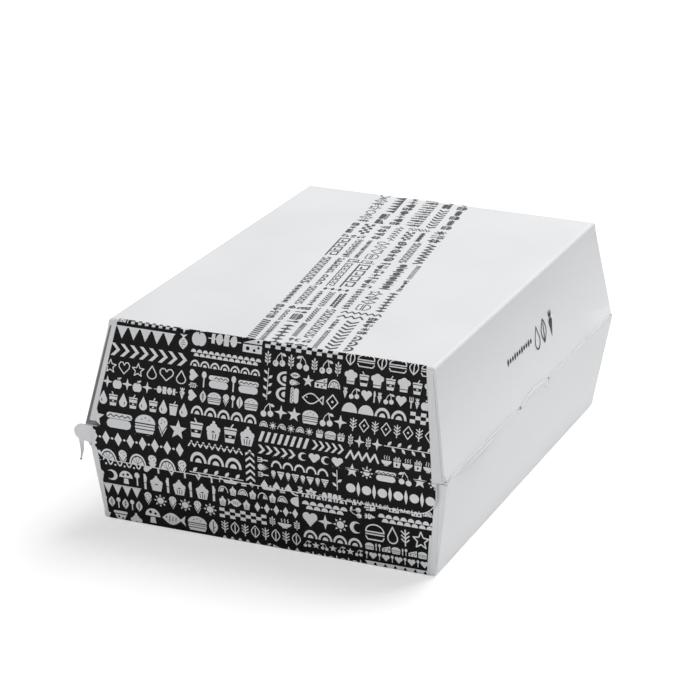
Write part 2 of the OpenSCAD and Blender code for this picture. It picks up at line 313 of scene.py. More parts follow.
def on(tone, *polys):
    """Gives every polygon in the list, or in lists in the list, a tone."""
    made = []
    for p in polys:
        made += [(tone, p)] if isinstance(p[0][0], (int, float)) else [(tone, q) for q in p]
    return made


def motif_list():
    """Filled motifs as (width, polygons), each one unit high. BARE shows, INK cuts into it."""
    b, k = BARE, INK
    return {
        "star": (0.96, on(b, star(0.48, 0.48, 0.52, 0.22, 5))),
        "spark": (0.8, on(b, star(0.4, 0.5, 0.5, 0.16, 4))),
        "heart": (1.0, on(b, ell(0.27, 0.68, 0.27), ell(0.73, 0.68, 0.27),
                          [(0.045, 0.55), (0.5, 0.02), (0.955, 0.55), (0.75, 0.8), (0.25, 0.8)])),
        "leaf": (0.56, on(b, lens(0.28, 0.5, 1, 0.56)) + on(k, bar(0.28, 0.12, 0.28, 0.84, 0.05),
                 bar(0.28, 0.36, 0.42, 0.5, 0.04), bar(0.28, 0.36, 0.14, 0.5, 0.04),
                 bar(0.28, 0.56, 0.4, 0.68, 0.04), bar(0.28, 0.56, 0.16, 0.68, 0.04))),
        "drop": (0.62, on(b, ell(0.31, 0.31, 0.31, a0=-210, a1=30) + [(0.31, 1.0)])
                 + on(k, lens(0.2, 0.3, 0.28, 0.07, 100))),
        "sun": (1.0, on(b, ell(0.5, 0.5, 0.25),
                        [[turn((0.5 + r, 0.5 + s), a, (0.5, 0.5)) for r, s in
                          ((0.32, -0.08), (0.5, 0), (0.32, 0.08))] for a in range(0, 360, 45)])),
        "flower": (1.0, on(b, [lens(*turn((0.77, 0.5), a, (0.5, 0.5)), 0.46, 0.27, a)
                               for a in range(30, 390, 60)]) + on(k, ell(0.5, 0.5, 0.13, n=10))
                   + on(b, ell(0.5, 0.5, 0.075, n=10))),
        "burger": (1.24, on(b, ell(0.62, 0.54, 0.6, 0.44, 0, 180),
                            path([(0.07, 0.44), (1.17, 0.44)], 0.08),
                            path([(0.09, 0.3), (1.15, 0.3)], 0.12),
                            [(0.06, 0.19), (0.14, 0.02), (1.1, 0.02), (1.18, 0.19)])
                   + on(k, ell(0.4, 0.72, 0.045, 0.03, n=8), ell(0.62, 0.82, 0.045, 0.03, n=8),
                        ell(0.84, 0.72, 0.045, 0.03, n=8))),
        "fries": (0.8, on(b, [(0.1, 0), (0.7, 0), (0.78, 0.5), (0.02, 0.5)],
                          [bar(0.1 + 0.15 * i, 0.55, 0.08 + 0.16 * i, t, 0.1)
                           for i, t in enumerate((0.82, 0.97, 0.88, 1.0, 0.8))])
                  + on(k, lens(0.4, 0.25, 0.3, 0.18, 90))),
        "cup": (0.7, on(b, [(0.12, 0), (0.58, 0), (0.67, 0.64), (0.03, 0.64)],
                        [(0, 0.69), (0.7, 0.69), (0.66, 0.79), (0.04, 0.79)],
                        bar(0.36, 0.79, 0.48, 1.0, 0.07))
                + on(k, [(0.1, 0.22), (0.6, 0.22), (0.63, 0.42), (0.07, 0.42)])
                + on(b, lens(0.35, 0.32, 0.2, 0.11, 0))),
        "slice": (0.9, on(b, [(0.45, 0), (0.83, 0.74), (0.07, 0.74)],
                          path([(0.09, 0.88), (0.81, 0.88)], 0.17))
                  + on(k, ell(0.33, 0.6, 0.075, n=10), ell(0.58, 0.52, 0.07, n=10),
                       ell(0.44, 0.3, 0.06, n=10))),
        "fork": (0.4, on(b, bar(0.2, 0, 0.2, 0.6, 0.11), ell(0.2, 0.66, 0.2, 0.16, 180, 360, 10),
                         [bar(x, 0.64, x, 1.0, 0.075) for x in (0.04, 0.2, 0.36)])),
        "spoon": (0.4, on(b, bar(0.2, 0, 0.2, 0.6, 0.1), ell(0.2, 0.78, 0.18, 0.22))),
        "knife": (0.26, on(b, bar(0.13, 0, 0.13, 0.4, 0.13),
                           [(0.06, 0.44), (0.2, 0.44), (0.25, 0.76), (0.17, 1.0), (0.06, 1.0)])),
        "cone": (0.6, on(b, [(0.3, 0), (0.56, 0.5), (0.04, 0.5)], ell(0.3, 0.73, 0.27))
                 + on(k, bar(0.12, 0.5, 0.36, 0.1, 0.04), bar(0.48, 0.5, 0.24, 0.1, 0.04),
                      ell(0.2, 0.78, 0.035, n=6), ell(0.36, 0.86, 0.035, n=6),
                      ell(0.4, 0.68, 0.035, n=6))),
        "fish": (1.5, on(b, lens(0.62, 0.5, 1.24, 0.8, 0),
                         [(1.12, 0.5), (1.5, 0.85), (1.42, 0.5)],
                         [(1.12, 0.5), (1.42, 0.5), (1.5, 0.15)])
                 + on(k, ell(0.28, 0.58, 0.055, n=8), bar(0.46, 0.3, 0.5, 0.7, 0.05),
                      bar(0.66, 0.34, 0.7, 0.66, 0.05), bar(0.86, 0.38, 0.89, 0.62, 0.05))),
        "mushroom": (0.96, on(b, ell(0.48, 0.46, 0.48, 0.52, 0, 180),
                              [(0.34, 0.4), (0.29, 0), (0.67, 0), (0.62, 0.4)])
                     + on(k, ell(0.3, 0.66, 0.08, n=10), ell(0.62, 0.72, 0.1, n=10))),
        "cherries": (1.0, on(b, ell(0.22, 0.23, 0.22), ell(0.74, 0.29, 0.22),
                             path([(0.22, 0.4), (0.34, 0.72), (0.6, 1.0)], 0.06),
                             bar(0.73, 0.48, 0.6, 1.0, 0.06), lens(0.82, 0.88, 0.42, 0.2, -20))
                     + on(k, lens(0.15, 0.27, 0.18, 0.06, 70), lens(0.67, 0.33, 0.18, 0.06, 70))),
        "carrot": (0.5, on(b, [(0.25, 0), (0.46, 0.58), (0.38, 0.68), (0.12, 0.68), (0.04, 0.58)],
                           lens(0.25, 0.84, 0.34, 0.12, 90), lens(0.14, 0.82, 0.32, 0.1, 112),
                           lens(0.36, 0.82, 0.32, 0.1, 68))
                   + on(k, bar(0.1, 0.52, 0.26, 0.52, 0.04), bar(0.26, 0.36, 0.38, 0.36, 0.04))),
        "wheat": (0.56, on(b, bar(0.28, 0, 0.28, 0.86, 0.05), lens(0.28, 0.88, 0.26, 0.13, 90),
                           [lens(0.28 + s * 0.14, y, 0.28, 0.13, 90 - s * 38)
                            for y in (0.28, 0.5, 0.72) for s in (-1, 1)])),
        "bowl": (1.1, on(b, ell(0.55, 0.5, 0.53, 0.42, 180, 360), bar(0.35, 0.03, 0.75, 0.03, 0.08),
                         *[path([(x, 0.6), (x + 0.07, 0.7), (x - 0.02, 0.82), (x + 0.05, 0.95)],
                                0.06) for x in (0.3, 0.54, 0.78)])),
        "cupcake": (0.84, on(b, [(0.17, 0), (0.67, 0), (0.76, 0.4), (0.08, 0.4)],
                             ell(0.22, 0.55, 0.17), ell(0.62, 0.55, 0.17), ell(0.42, 0.68, 0.21),
                             ell(0.42, 0.93, 0.08, n=10))
                    + on(k, bar(0.3, 0.05, 0.27, 0.34, 0.04), bar(0.42, 0.05, 0.42, 0.34, 0.04),
                         bar(0.54, 0.05, 0.57, 0.34, 0.04))),
        "hot_dog": (1.6, on(b, path([(0.3, 0.28), (1.3, 0.28)], 0.46),
                            path([(0.18, 0.68), (1.42, 0.68)], 0.3))
                    + on(k, path([(0.12 + 0.17 * i, 0.62 + 0.12 * (i % 2)) for i in range(9)],
                                 0.05))),
        "apple": (0.84, on(b, ell(0.29, 0.36, 0.29, 0.36), ell(0.55, 0.36, 0.29, 0.36),
                           bar(0.42, 0.6, 0.46, 0.94, 0.06), lens(0.62, 0.88, 0.34, 0.16, 25))
                  + on(k, [(0.36, 0.74), (0.42, 0.6), (0.48, 0.74)])),
        "chef_hat": (0.92, on(b, ell(0.22, 0.66, 0.21), ell(0.46, 0.76, 0.24), ell(0.7, 0.66, 0.21),
                              [(0.2, 0.02), (0.72, 0.02), (0.76, 0.6), (0.16, 0.6)])
                     + on(k, bar(0.2, 0.2, 0.72, 0.2, 0.05))),
        "egg": (1.1, on(b, ell(0.4, 0.55, 0.38, 0.4), ell(0.74, 0.45, 0.34, 0.38))
                + on(k, ell(0.52, 0.52, 0.22, n=14)) + on(b, ell(0.52, 0.52, 0.16, n=14))),
        "cheese": (1.1, on(b, [(0, 0.06), (1.1, 0.06), (1.1, 0.48), (0, 0.48)],
                           [(0, 0.55), (1.1, 0.55), (1.1, 0.94)])
                   + on(k, ell(0.28, 0.27, 0.11, n=12), ell(0.66, 0.2, 0.08, n=10),
                        ell(0.9, 0.36, 0.07, n=10), ell(0.86, 0.68, 0.07, n=10))),
        "citrus": (1.1, on(b, ell(0.55, 0.2, 0.55, 0.72, 0, 180))
                   + on(k, ell(0.55, 0.2, 0.46, 0.6, 0, 180))
                   + on(b, [[polar(0.55, 0.24, 0.03, 0.03, m)]
                            + [polar(0.55, 0.22, 0.4, 0.5, m + a) for a in (-16, -8, 0, 8, 16)]
                            for m in (18, 54, 90, 126, 162)])),
        "kebab": (1.9, on(b, bar(0, 0.5, 1.9, 0.5, 0.06), ell(0.42, 0.5, 0.2, 0.3, n=12),
                          [(0.7, 0.2), (1.0, 0.2), (1.0, 0.8), (0.7, 0.8)],
                          ell(1.26, 0.5, 0.2, 0.3, n=12),
                          [(1.52, 0.24), (1.72, 0.24), (1.72, 0.76), (1.52, 0.76)])),
        "half_moon": (0.8, on(b, [[turn(p, a + step, (p[0], 0.5)) for p, step in
                                   (((0.4, 0.9), 0), ((0.4, 0.9), 24),
                                    ((0.55, 0.8), 24), ((0.55, 0.8), 0))]
                                  for a in range(-30, 210, 24)])),
    }


def thin_motifs():
    """Motifs drawn as lines, for the light cells."""
    def loop(pts, w):
        return path(pts + pts[:1], w)

    b, w = BARE, 0.075
    kite = [(0.4, 0.04), (0.76, 0.5), (0.4, 0.96), (0.04, 0.5)]
    return {
        "thin_kite": (0.8, on(b, loop(kite, w), ell(0.4, 0.5, 0.08, n=8))),
        "thin_leaf": (0.62, on(b, loop(lens(0.31, 0.5, 0.9, 0.56, 90), w),
                               bar(0.31, 0.1, 0.31, 0.8, w))),
        "thin_drop": (0.66, on(b, loop(ell(0.33, 0.33, 0.29, a0=-210, a1=30) + [(0.33, 0.95)], w))),
        "thin_heart": (1.0, on(b, loop([(0.5, 0.08), (0.9, 0.5), (0.93, 0.72), (0.8, 0.9),
                                        (0.62, 0.88), (0.5, 0.7), (0.38, 0.88), (0.2, 0.9),
                                        (0.07, 0.72), (0.1, 0.5)], w))),
        "thin_star": (1.0, on(b, loop([turn((0.5, 0.5 + (0.46 if i % 2 == 0 else 0.2)), 36 * i,
                                            (0.5, 0.48)) for i in range(10)], w))),
        "thin_fish": (1.4, on(b, loop(lens(0.56, 0.5, 1.05, 0.66, 0), w),
                              path([(1.08, 0.5), (1.34, 0.76), (1.34, 0.24), (1.08, 0.5)], w),
                              ell(0.3, 0.56, 0.05, n=8))),
        "thin_bun": (1.2, on(b, loop(ell(0.6, 0.5, 0.54, 0.42, 0, 180, 12), w),
                             path([(0.06, 0.36), (1.14, 0.36)], w),
                             path([(0.06, 0.22), (0.16, 0.06), (1.04, 0.06), (1.14, 0.22)], w))),
        "thin_sprig": (0.6, on(b, path([(0.3, 0.03), (0.3, 0.92)], w),
                               [bar(0.3, y, 0.3 + s * 0.24, y + 0.2, w)
                                for y in (0.2, 0.42, 0.64) for s in (-1, 1)])),
    }


MOTIFS = motif_list()
THIN = thin_motifs()


# The ornaments, with the length of one repeat
PITCH = {"zig": 0.8, "wave": 0.9, "kites": 0.9, "slants": 0.62, "flags": 0.9, "scales": 0.8,
         "checks": 0.5, "vine": 0.8, "beads": 1.0, "key": 1.25, "arrows": 0.7, "hills": 1.4}
PATTERNS = tuple(PITCH)


def pattern(kind, length):
    """A running ornament, one unit high."""
    b = BARE
    n = max(2, round(length / PITCH[kind]))
    s = length / n
    spots = [i * s for i in range(n)]
    if kind == "zig":
        return on(b, path([(i * s / 2, 0.14 + 0.72 * (i % 2)) for i in range(2 * n + 1)], 0.2))
    if kind == "wave":
        pts = [(i * s / 8, 0.5 + 0.36 * math.sin(i * math.pi / 4)) for i in range(8 * n + 1)]
        return on(b, path(pts, 0.13), [ell(x + s * 0.25, 0.16, 0.1, n=8) for x in spots],
                  [ell(x + s * 0.75, 0.84, 0.1, n=8) for x in spots])
    if kind == "kites":
        return on(b, [lens(x + s / 2, 0.5, 1.0, s * 0.62, 90, 2) for x in spots],
                  [ell(x, 0.5, 0.09, n=8) for x in spots[1:]])
    if kind == "slants":
        return on(b, [[(x, 0), (x + s * 0.5, 0), (x + s * 0.95, 1), (x + s * 0.45, 1)]
                      for x in spots])
    if kind == "flags":
        return on(b, [[(x + s * 0.06, 0.92), (x + s * 0.5, 0.06), (x + s * 0.94, 0.92)]
                      for x in spots], [bar(0, 0.96, length, 0.96, 0.08)])
    if kind == "scales":
        return on(b, [ell(x + s / 2, 0.52, s * 0.46, 0.44, 0, 180, 10) for x in spots],
                  [ell(x, 0.02, s * 0.46, 0.44, 0, 180, 10) for x in spots[1:]])
    if kind == "checks":
        return on(b, [[(x, y), (x + s, y), (x + s, y + 1 / 3), (x, y + 1 / 3)]
                      for i, x in enumerate(spots) for j, y in enumerate((0, 1 / 3, 2 / 3))
                      if (i + j) % 2 == 0])
    if kind == "vine":
        return on(b, path([(0, 0.5), (length, 0.5)], 0.07),
                  [lens(x + s * 0.5, 0.73, 0.5, 0.24, 50) for x in spots],
                  [lens(x + s * 0.95, 0.27, 0.5, 0.24, -50) for x in spots[:-1]])
    if kind == "beads":
        return on(b, [ell(x + s * 0.3, 0.5, 0.28, n=14) for x in spots],
                  [lens(x + s * 0.78, 0.5, 0.9, 0.2, 90) for x in spots])
    if kind == "key":
        return on(b, *[path([(x + 0.05 * s, 0.1), (x + 0.05 * s, 0.9), (x + 0.75 * s, 0.9),
                             (x + 0.75 * s, 0.4), (x + 0.4 * s, 0.4)], 0.13) for x in spots],
                  path([(0, 0.1), (length, 0.1)], 0.13))
    if kind == "arrows":
        return on(b, *[[[(x, y), (x + s * 0.4, y), (x + s, 0.5), (x + s * 0.6, 0.5)]
                        for x in spots] for y in (0.95, 0.05)])
    made = []
    for tone, rx, ry in ((b, 0.47, 0.84), (INK, 0.33, 0.58), (b, 0.19, 0.34)):
        made += on(tone, [ell(x + s / 2, 0.08, s * rx, ry, 0, 180, 12) for x in spots])
    return made


def run_of_motifs(rng, length, shapes):
    """Motifs side by side, one unit high, stretched a little to fill the length."""
    gap = 0.12
    pair = rng.sample(sorted(shapes), 2 if rng.random() < 0.55 else 4)
    chosen, used = [], 0.0
    while True:
        name = pair[len(chosen) % len(pair)]
        w = shapes[name][0] + gap
        if chosen and used + w * 0.55 > length + gap:
            break
        chosen.append(name)
        used += w
    k = length / (used - gap)
    made, x = [], 0.0
    for name in chosen:
        w, polys = shapes[name]
        flip = rng.random() < 0.3
        made += [(t, [(x + (w - px if flip else px) * k, py) for px, py in p]) for t, p in polys]
        x += (w + gap) * k
    return made


# Sizes in mm at which the patchwork is cut: blocks wider or taller than these are halved, what is
# left is cut into columns and rows, and long low runs are halved again
WIDE, SHORT, TALL, ROW, COLUMN_FROM, ROW_FROM, LONG_RUN, LOW_RUN = 42, 22, 20, 8.4, 17, 8, 30, 6
ROW_HEIGHTS, LEAST_ROW = (3.6, 4.6, 5.2, 6.2, 7.4), 3.4
# Cells narrower than NARROW hold no lined motifs, which fill the share LINED of the others
NARROW, LINED = 4.6, 0.27


def cells(rng, x0, y0, x1, y1):
    """Cuts a rectangle into a patchwork of rows and columns for runs of motifs."""
    def beside(x):
        return cells(rng, x0, y0, x, y1) + cells(rng, x, y0, x1, y1)

    def stacked(y):
        return cells(rng, x0, y0, x1, y) + cells(rng, x0, y, x1, y1)

    w, h = x1 - x0, y1 - y0
    if w > WIDE and (h < SHORT or w > 1.5 * h):
        return beside(x0 + w * rng.uniform(0.38, 0.62))
    if h > TALL:
        return stacked(y0 + h * rng.uniform(0.4, 0.6))
    if h > ROW:
        if w > COLUMN_FROM and rng.random() < 0.3:
            x = x0 + rng.uniform(4.4, 5.4)
            return beside(x1 - (x - x0) if rng.random() < 0.5 else x)
        if w > ROW_FROM:
            part = rng.choice(ROW_HEIGHTS)
            part = h / 2 if part > h - LEAST_ROW else part
            return stacked(y0 + part if rng.random() < 0.5 else y1 - part)
    if w > LONG_RUN and h < LOW_RUN:
        return beside(x0 + w * rng.uniform(0.35, 0.65))
    return [(x0, y0, x1, y1)]


def patchwork(seed, x0, y0, x1, y1, bold=0.5, air=1.0):
    """All the polygons of a patchwork over a rectangle, in mm, with y up. Bold is the share of
    filled motifs in all but the narrowest cells, and air widens the gutters."""
    rng = random.Random(seed)
    made = []
    for cx0, cy0, cx1, cy1 in cells(rng, x0, y0, x1, y1):
        w, h = cx1 - cx0, cy1 - cy0
        upright = h > 1.5 * w
        gutter = (0.42 if min(w, h) < 6 else 0.55) * air
        along, across = (h, w) if upright else (w, h)
        along, across = along - 2 * gutter, across - 2 * gutter
        length = along / across
        pick = rng.random()
        if across < NARROW:
            kind = "ornament" if pick < 0.55 else "filled"
        else:
            kind = "filled" if pick < bold else "lined" if pick < bold + LINED else "ornament"
        if kind == "ornament":
            polys = pattern(rng.choice(PATTERNS), length)
        else:
            polys = run_of_motifs(rng, length, MOTIFS if kind == "filled" else THIN)
        for tone, p in polys:
            if upright:
                q = [(cx1 - gutter - y * across, cy0 + gutter + x * across) for x, y in p]
            else:
                q = [(cx0 + gutter + x * across, cy0 + gutter + y * across) for x, y in p]
            made.append((tone, q))
    return made


# From flat sheets to the card
def clip(poly, window):
    """The part of a convex polygon inside a convex window whose corners run anticlockwise."""
    for (ax, ay), (bx, by) in zip(window, window[1:] + window[:1]):
        kept, sides = [], [(bx - ax) * (y - ay) - (by - ay) * (x - ax) for x, y in poly]
        for i, (p, d) in enumerate(zip(poly, sides)):
            q, e = poly[i - 1], sides[i - 1]
            if (d >= 0) != (e >= 0):
                t = e / (e - d)
                kept.append((q[0] + (p[0] - q[0]) * t, q[1] + (p[1] - q[1]) * t))
            if d >= 0:
                kept.append(p)
        poly = kept
        if len(poly) < 3:
            return []
    return poly


def rounded(before, p, after, r):
    """Points of the arc of radius r that rounds the corner p."""
    u = (Vector(before) - Vector(p)).normalized()
    v = (Vector(after) - Vector(p)).normalized()
    half = u.angle(v) / 2
    centre = Vector(p) + (u + v).normalized() * r / math.sin(half)
    start = Vector(p) + u * r / math.tan(half) - centre
    end = Vector(p) + v * r / math.tan(half) - centre
    way = 1 if start.cross(end) > 0 else -1
    angles = [way * (math.pi - 2 * half) * i / FOLD_STEPS for i in range(FOLD_STEPS + 1)]
    return [tuple(centre + Matrix.Rotation(a, 2) @ start) for a in angles]


class Sheet:
    """A flat sheet laid over a bent profile. Its x runs along `across`. Its y is 0 at the first
    point of the profile and falls along it, over the bends."""

    def __init__(self, profile, across, out):
        self.across = Vector(across).normalized()
        pts = [Vector(p) for p in profile]
        flats = [self.across.cross(b - a).normalized() for a, b in zip(pts, pts[1:])]
        sign = 1 if flats[0].dot(Vector(out)) > 0 else -1
        flats = [f * sign for f in flats]
        bends = [(a + b) / (1 + a.dot(b)) for a, b in zip(flats, flats[1:])]
        ups = [flats[0]] + bends + [flats[-1]]
        self.strips, v = [], 0.0
        for i, (a, b) in enumerate(zip(pts, pts[1:])):
            v1 = v - (b - a).length
            self.strips.append((v, v1, a, b, ups[i], ups[i + 1], flats[i]))
            v = v1
        self.low = v

    def place(self, poly, window, lift, out):
        """Adds the polygon, cut to the window and to each flat of the profile, to a Print."""
        poly = clip(poly, window)
        for v0, v1, a, b, na, nb, flat in self.strips:
            part = clip(poly, [(-FAR, v1), (FAR, v1), (FAR, v0), (-FAR, v0)]) if poly else []
            if not part:
                continue
            made = []
            for x, y in part:
                t = (y - v0) / (v1 - v0)
                made.append(a.lerp(b, t) + self.across * x + na.lerp(nb, t) * lift)
            out.add(made, flat)


def add_object(name, verts, faces, material):
    """A mesh object in the scene, with one material."""
    mesh = bpy.data.meshes.new(name)
    mesh.from_pydata(verts, [], faces)
    mesh.update()
    mesh.materials.append(material)
    obj = bpy.data.objects.new(name, mesh)
    bpy.context.scene.collection.objects.link(obj)
    return obj


class Print:
    """Collects flat polygons and makes one mesh of them."""

    def __init__(self):
        self.verts, self.faces = [], []

    def add(self, pts, normal):
        area = sum(((pts[i] - pts[0]).cross(pts[i + 1] - pts[0]) for i in range(1, len(pts) - 1)),
                   Vector((0, 0, 0)))
        if area.length < SPECK_AREA:
            return
        if area.dot(normal) < 0:
            pts = pts[::-1]
        n = len(self.verts)
        self.verts += [p * MM for p in pts]
        self.faces.append(list(range(n, n + len(pts))))

    def build(self, name, material, slot, body):
        obj = add_object(name, self.verts, self.faces, material)
        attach(obj, body)


def lay_print_or_shade(sheet, window, shapes, name, body, ink, field=True, wear=(), inside=None):
    """A printed area: a field of ink with the card left bare in the motifs and in the wear, or ink
    on bare card, or a thin line of painted shade. Motifs and wear are cut to the window `inside`
    where there is one."""
    inside = inside or window
    under, bare, over = Print(), Print(), Print()
    if field:
        sheet.place(window, window, FIELD_LIFT, under)
    for i, (tone, poly) in enumerate(shapes):
        lift = PRINT_LIFT + LIFT_STEP * (i % LIFTS)
        shows = (tone == BARE) == field
        sheet.place(poly, inside, lift, bare if shows else over)
    for poly in wear:
        sheet.place(poly, inside, PRINT_LIFT + LIFT_STEP * (LIFTS + 1), bare)
    if field:
        under.build(name + "_field", ink, "printed_card", body)
        bare.build(name + "_motifs", BARE_MAT, "white_card", body)
        over.build(name + "_details", ink, "printed_card", body)
    else:
        over.build(name + "_motifs", ink, "printed_card", body)
        if bare.faces:
            bare.build(name + "_details", BARE_MAT, "white_card", body)


def cracks(seed, x0, x1, reach, share):
    """Small bare chips along the fold at the top of a sheet, in patches."""
    rng = random.Random(seed)
    made, x = [], x0
    while x < x1:
        span = rng.uniform(6, 16)
        if rng.random() < share:
            u = x
            while u < min(x + span, x1):
                w, h = rng.uniform(0.25, 0.9), rng.uniform(0.12, reach)
                k = rng.uniform(0.2, 0.8)
                made.append([(u, 0.05), (u + w * k, -h), (u + w, 0.05)])
                u += w + rng.uniform(0.2, 1.8)
        x += span
    return made


# The print
# Profiles of the fronts, from the fold or rim down, as (y, z)
lid_corner, lid_rim = (-TOP_D / 2, BOX_H), (-WAIST_D / 2, WAIST_Z)
lid_arc = rounded((0, BOX_H), lid_corner, lid_rim, FOLD_R)
lid_slope = (lid_rim[0] - lid_corner[0]) / (BOX_H - WAIST_Z)
lid_end = (lid_rim[0] - lid_slope * CREASE / 2, LID_RIM_Z)
tray_corner, tray_rim = (-BASE_D / 2, 0.0), (-TRAY_FRONT, WAIST_Z)
tray_slope = (tray_corner[0] - tray_rim[0]) / WAIST_Z
tray_start = (tray_rim[0] + tray_slope * CREASE / 2, TRAY_RIM_Z)
tray_arc = rounded(tray_rim, tray_corner, (0, 0), FOLD_R)
lean = math.radians(FLAP_LEAN)
flap_start = (-WAIST_D / 2 + CREASE / 2 * math.sin(lean), WAIST_Z - CREASE / 2 * math.cos(lean))
flap_end = (-WAIST_D / 2 + FLAP_H * math.sin(lean), WAIST_Z - FLAP_H * math.cos(lean))

FRONT, BACK, RIGHT, UP = (0, -1, 0), (0, 1, 0), (1, 0, 0), (0, 0, 1)


def profile(points):
    """A profile across the box's width."""
    return [(0, y, z) for y, z in points]


lid_front = Sheet(profile(lid_arc + [lid_end]), RIGHT, UP)
flap_front = Sheet(profile([flap_start, flap_end]), RIGHT, FRONT)
tray_front = Sheet(profile([tray_start] + tray_arc), RIGHT, FRONT)

# One patchwork runs down the lid's front and on over the crease to the flap's edge
front_print = patchwork(11, -PRINT_HALF_W, lid_front.low - FLAP_H - PRINT_PAST, PRINT_HALF_W,
                        PRINT_TOP, bold=0.5, air=1.15)
lid_window = [(-60.6, lid_front.low), (61.9, lid_front.low), (56.4, 0), (-56.1, 0),
              (-62.8, lid_front.low + 2.0)]
lid_inside = [(x, max(y, lid_front.low + FOLD_CLEAR)) for x, y in lid_window]
lay_print_or_shade(lid_front, lid_window, front_print, "lid_print", "lid", BLACK,
          wear=cracks(5, -56, 56, 0.75, 0.6), inside=lid_inside)

# The tab beside the panel's left edge and in the torn notch, behind the panel's face, laid in dark
# grey as painted shade for the shade that falls in the gap there
TAB_IN, TAB_CLEAR, TAB_TOP = 0.06, 0.02, -3.2
strip = Print()
top_x, rim_x = -TOP_W / 2, -LID_RIM_W / 2
strip_w, tab_low = LID_STRIP - TAB_CLEAR, lid_front.low + TAB_IN
notch_x, notch_top = rim_x + NOTCH_W - TAB_CLEAR, lid_front.low + NOTCH_H - TAB_CLEAR
strip_window = [(rim_x + TAB_IN, tab_low), (rim_x + strip_w, tab_low), (top_x + strip_w, TAB_TOP),
                (top_x + TAB_IN, TAB_TOP)]
torn_window = [(rim_x + LID_STRIP, tab_low), (notch_x, tab_low), (notch_x, notch_top),
               (rim_x + LID_STRIP, notch_top)]
for window in (strip_window, torn_window):
    lid_front.place(window, window, TAB_CLEAR - SCORE, strip)
# Painted shade on the tab, built under the print's slot name
strip.build("lid_tab_left_painted_shade", TAB_SHADE, "printed_card", "lid")

# The same patchwork goes on over the flap, with chips of bare card at its left end
shift = lid_front.low - CREASE
flap_print = [(t, [(x, y - shift) for x, y in p]) for t, p in front_print]
half, bevel = FLAP_W / 2 - FLAP_EDGE, FLAP_R - FLAP_EDGE
low = -FLAP_H + CREASE / 2 + FLAP_EDGE
flap_window = ([(-half, 0)] + ell(-half + bevel, low + bevel, bevel, a0=180, a1=270, n=8)
               + ell(half - bevel, low + bevel, bevel, a0=270, a1=360, n=8) + [(half, 0)])
flap_inside = [(x, min(y, -FOLD_CLEAR)) for x, y in flap_window]
chips = [[(-63.4, -1.0), (-63.4, -4.4), (-62.5, -3.2), (-62.2, -1.5)],
         [(-63.4, -5.6), (-62.9, -7.2), (-61.9, -6.3), (-62.6, -5.5)],
         [(-62.0, -9.2), (-61.2, -10.4), (-60.4, -9.9), (-61.2, -8.9)]]
lay_print_or_shade(flap_front, flap_window, flap_print, "flap_print", "flap", BLACK,
          wear=cracks(8, -63, 63, 0.3, 0.45) + chips, inside=flap_inside)

# The tray's print stops above the base's fold, and is worn off at its lower right corner
tray_print = patchwork(23, -PRINT_HALF_W, tray_front.low - PRINT_PAST, PRINT_HALF_W, PRINT_TOP)
print_low = tray_front.low + BASE_CLEAR
tray_window = [(-60.3, print_low), (59.5, print_low), (62.6, 0), (-64.05, 0)]
lay_print_or_shade(tray_front, tray_window, tray_print, "tray_print", "tray", BLACK,
          wear=[[(58.8, print_low), (61.5, print_low), (61.5, -21), (60.1, -21)]])

# The band of print across the top, oblique, in dark ink on the bare card
TOP_HALF_W, TOP_HALF_D, BAND_W, BAND_L = 58.5, 88.2, 39.5, 184.0
band_start, band_along = Vector((-30.3, 91.0, 0)), Vector((20.0, -172.0, 0)).normalized()
band_up = Vector(UP).cross(band_along)
top_sheet = Sheet([(0, TOP_HALF_D, BOX_H), (0, -TOP_HALF_D, BOX_H)], RIGHT, UP)
band = []
for tone, poly in patchwork(47, 0, 0, BAND_L, BAND_W, bold=0.2, air=1.9):
    pts = [band_start + band_along * x + band_up * y for x, y in poly]
    band.append((tone, [(p.x, p.y - TOP_HALF_D) for p in pts]))
top_window = [(-TOP_HALF_W, -2 * TOP_HALF_D), (TOP_HALF_W, -2 * TOP_HALF_D), (TOP_HALF_W, 0),
              (-TOP_HALF_W, 0)]
lay_print_or_shade(top_sheet, top_window, band, "top_print", "lid", GREY, field=False)


def placed(polys, x, y, w, h):
    """A motif with its lower left corner at x and y, its unit stretched to w across and h up."""
    return [(t, [(x + px * w, y + py * h) for px, py in p]) for t, p in polys]


# The small print on the lid's right side: a row of strokes and three signs
SIDE_SPARE, SIDE_HALF_D = 8, 60
STROKES, STROKE_X, STROKE_Y, STROKE_STEP = 11, -22.4, -12.2, 2.5
SIGN_Y = -17.6
side_slope = (LID_RIM_W - TOP_W) / 2 / (BOX_H - WAIST_Z)
side_sheet = Sheet([(TOP_W / 2 + side_slope * SIDE_SPARE, 0, BOX_H - SIDE_SPARE),
                    (LID_RIM_W / 2, 0, WAIST_Z)], BACK, RIGHT)
small = on(BARE, [lens(STROKE_X + STROKE_STEP * i, STROKE_Y, 2.1 if i % 3 else 2.9, 1.9, 80, 6)
                  for i in range(STROKES)])
for sign, x, w, h in ((THIN["thin_drop"], 6.6, 9.0, 9.0), (THIN["thin_leaf"], 14.2, 9.6, 9.6),
                      (MOTIFS["carrot"], 23.0, 9.4, 10.4)):
    small += placed(sign[1], x, SIGN_Y, w, h)
side_window = [(-SIDE_HALF_D, side_sheet.low), (SIDE_HALF_D, side_sheet.low), (SIDE_HALF_D, 0),
               (-SIDE_HALF_D, 0)]
lay_print_or_shade(side_sheet, side_window, small, "side_print", "lid", SMALL, field=False)

